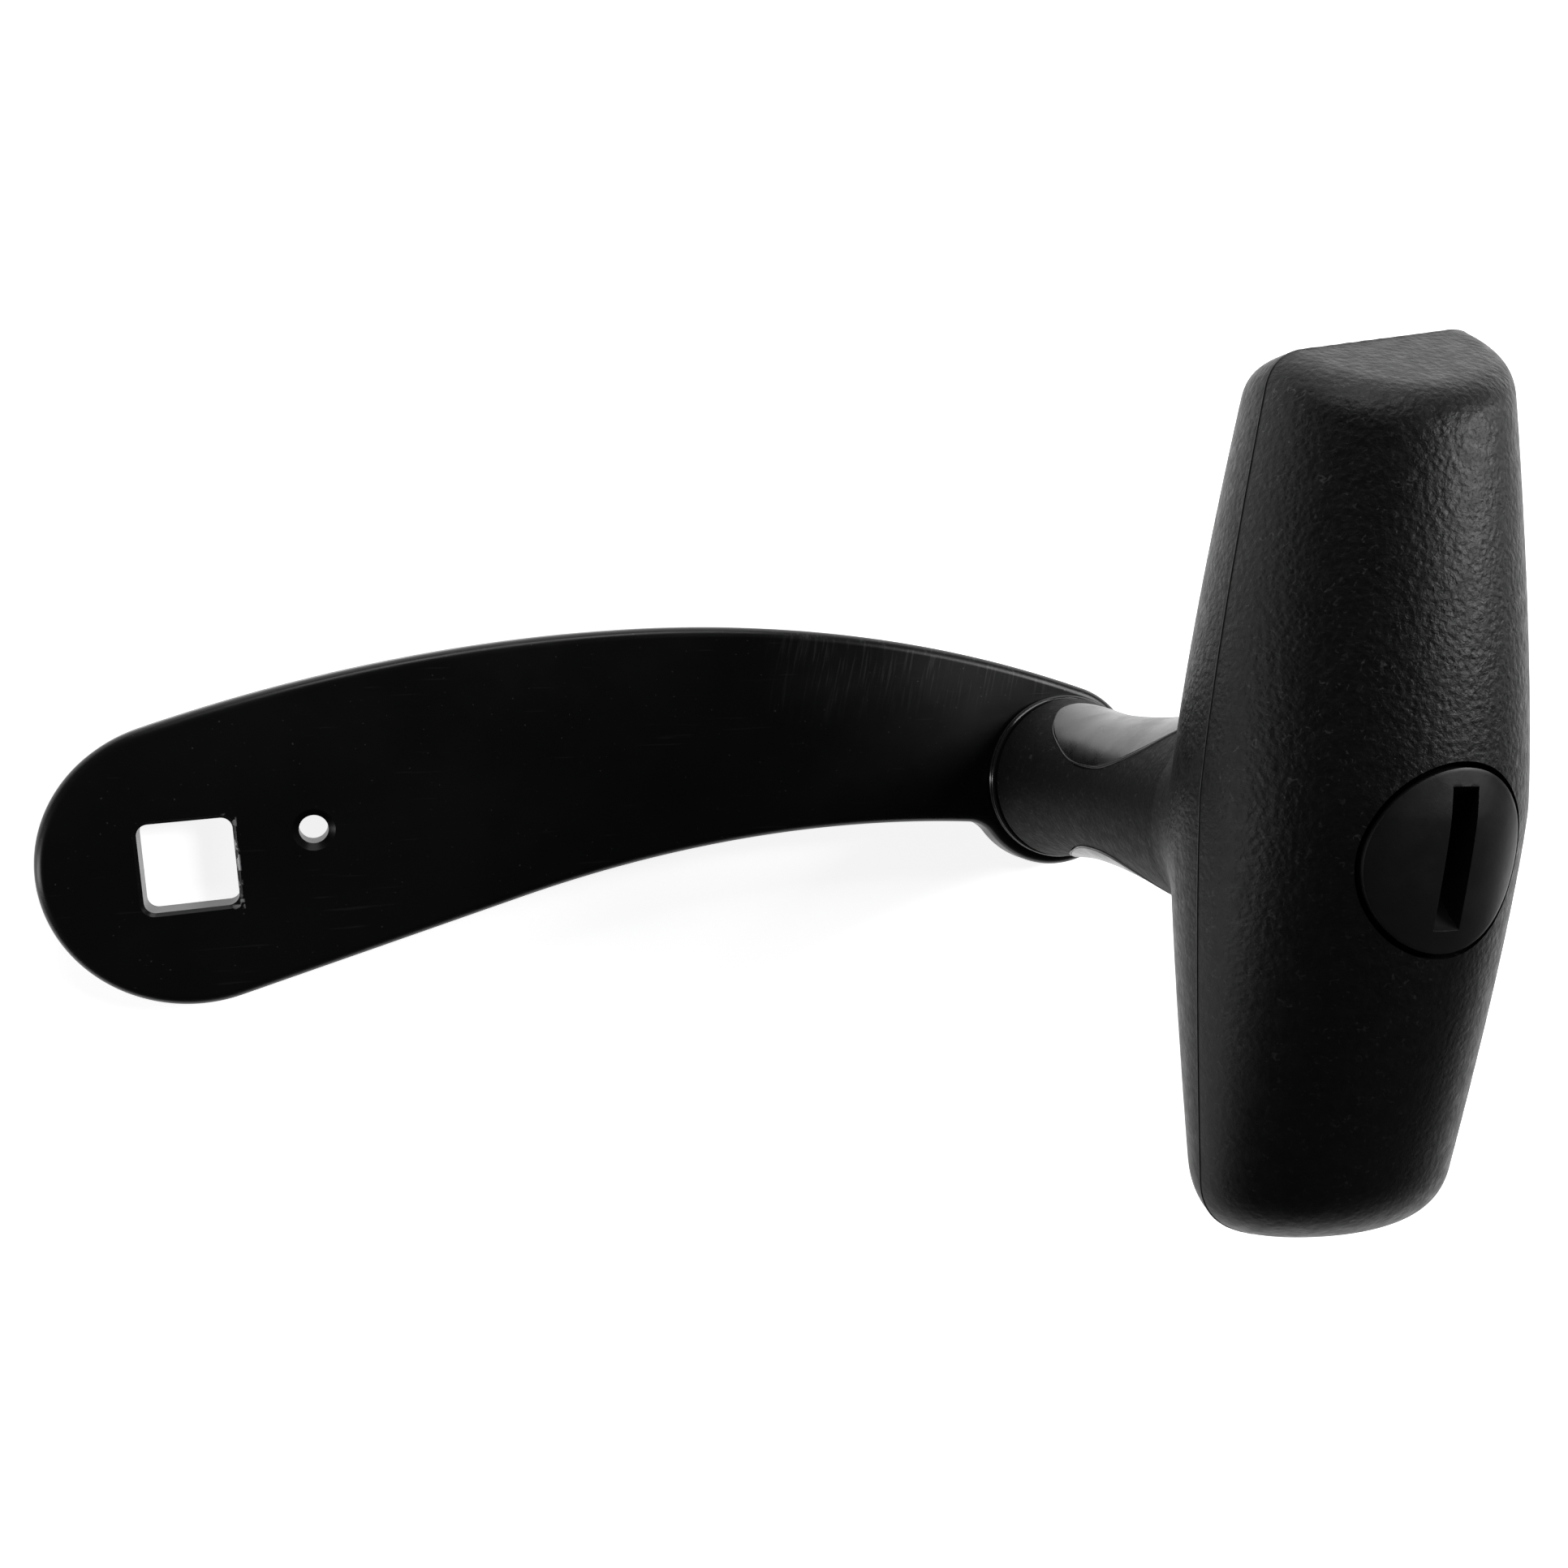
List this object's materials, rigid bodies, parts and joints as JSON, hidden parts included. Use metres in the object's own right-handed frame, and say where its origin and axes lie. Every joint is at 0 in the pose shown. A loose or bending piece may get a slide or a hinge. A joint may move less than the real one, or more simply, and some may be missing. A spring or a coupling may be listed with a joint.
{
  "type": "crank handle",
  "caption": "Curved flat crank arm with a square drive hole and a locking screw hole, carrying a free-spinning T-bar knob on ball bearings under a coin-slotted cap.",
  "frame": {"origin": "centre of the square drive hole, on the arm's back face", "axes": "+X along the arm from the drive hole to the knob's spindle, +Z along the drive and spindle axes from the arm towards the knob, +Y across the arm towards its arched edge"},
  "size_m": [0.114, 0.0716, 0.0606],
  "materials": {
    "anodised_aluminium": "black anodised, satin",
    "stainless_steel": "turned",
    "bearing_steel": "ground",
    "cage_brass": "pressed brass",
    "acetal": "turned acetal",
    "hard_nylon": "smooth moulded",
    "soft_grip": "fine moulded grain",
    "seal_rubber": "matt"
  },
  "bodies": {
    "arm": {"crank_arm": "anodised_aluminium", "spindle": "stainless_steel", "spindle_screw": "stainless_steel", "thrust_washer": "acetal", "spacer_sleeve": "anodised_aluminium", "retaining_washer": "stainless_steel", "retaining_screw": "stainless_steel", "lower_bearing_inner_race": "bearing_steel", "upper_bearing_inner_race": "bearing_steel"},
    "knob": {"t_bar_grip": "soft_grip", "knob_core": "hard_nylon", "lower_bearing_outer_race": "bearing_steel", "lower_bearing_upper_shield": "bearing_steel", "lower_bearing_lower_shield": "bearing_steel", "upper_bearing_outer_race": "bearing_steel", "upper_bearing_upper_shield": "bearing_steel", "upper_bearing_lower_shield": "bearing_steel"},
    "lower_cage": {"lower_bearing_cage": "cage_brass", "lower_bearing_ball_1": "bearing_steel", "lower_bearing_ball_2": "bearing_steel", "lower_bearing_ball_3": "bearing_steel", "lower_bearing_ball_4": "bearing_steel", "lower_bearing_ball_5": "bearing_steel", "lower_bearing_ball_6": "bearing_steel", "lower_bearing_ball_7": "bearing_steel"},
    "upper_cage": {"upper_bearing_cage": "cage_brass", "upper_bearing_ball_1": "bearing_steel", "upper_bearing_ball_2": "bearing_steel", "upper_bearing_ball_3": "bearing_steel", "upper_bearing_ball_4": "bearing_steel", "upper_bearing_ball_5": "bearing_steel", "upper_bearing_ball_6": "bearing_steel", "upper_bearing_ball_7": "bearing_steel"},
    "cap_seal": {"cap_o_ring": "seal_rubber"},
    "cap": {"slotted_cap": "hard_nylon"}
  },
  "joints": [
    {"name": "knob_spin", "type": "hinge", "parent": "arm", "child": "knob", "pos_m": [0.0877, 0, 0.0484], "axis": [0, 0, 1], "continuous": true},
    {"name": "lower_cage_spin", "type": "hinge", "parent": "arm", "child": "lower_cage", "pos_m": [0.0877, 0, 0.0086], "axis": [0, 0, 1], "continuous": true},
    {"name": "upper_cage_spin", "type": "hinge", "parent": "arm", "child": "upper_cage", "pos_m": [0.0877, 0, 0.04], "axis": [0, 0, 1], "continuous": true},
    {"name": "cap_unscrew", "type": "hinge", "parent": "cap_seal", "child": "cap", "pos_m": [0.0877, 0, 0.0541], "axis": [0, 0, 1], "range_deg": [0, 1440]},
    {"name": "cap_lift", "type": "slide", "parent": "knob", "child": "cap_seal", "axis": [0, 0, 1], "range_m": [0, 0.0061]}
  ],
  "couplings": [
    {"joint": "lower_cage_spin", "follows": "knob_spin", "ratio": 0.6},
    {"joint": "upper_cage_spin", "follows": "knob_spin", "ratio": 0.6},
    {"joint": "cap_lift", "follows": "cap_unscrew", "m_per_rad": 0.00023873}
  ]
}
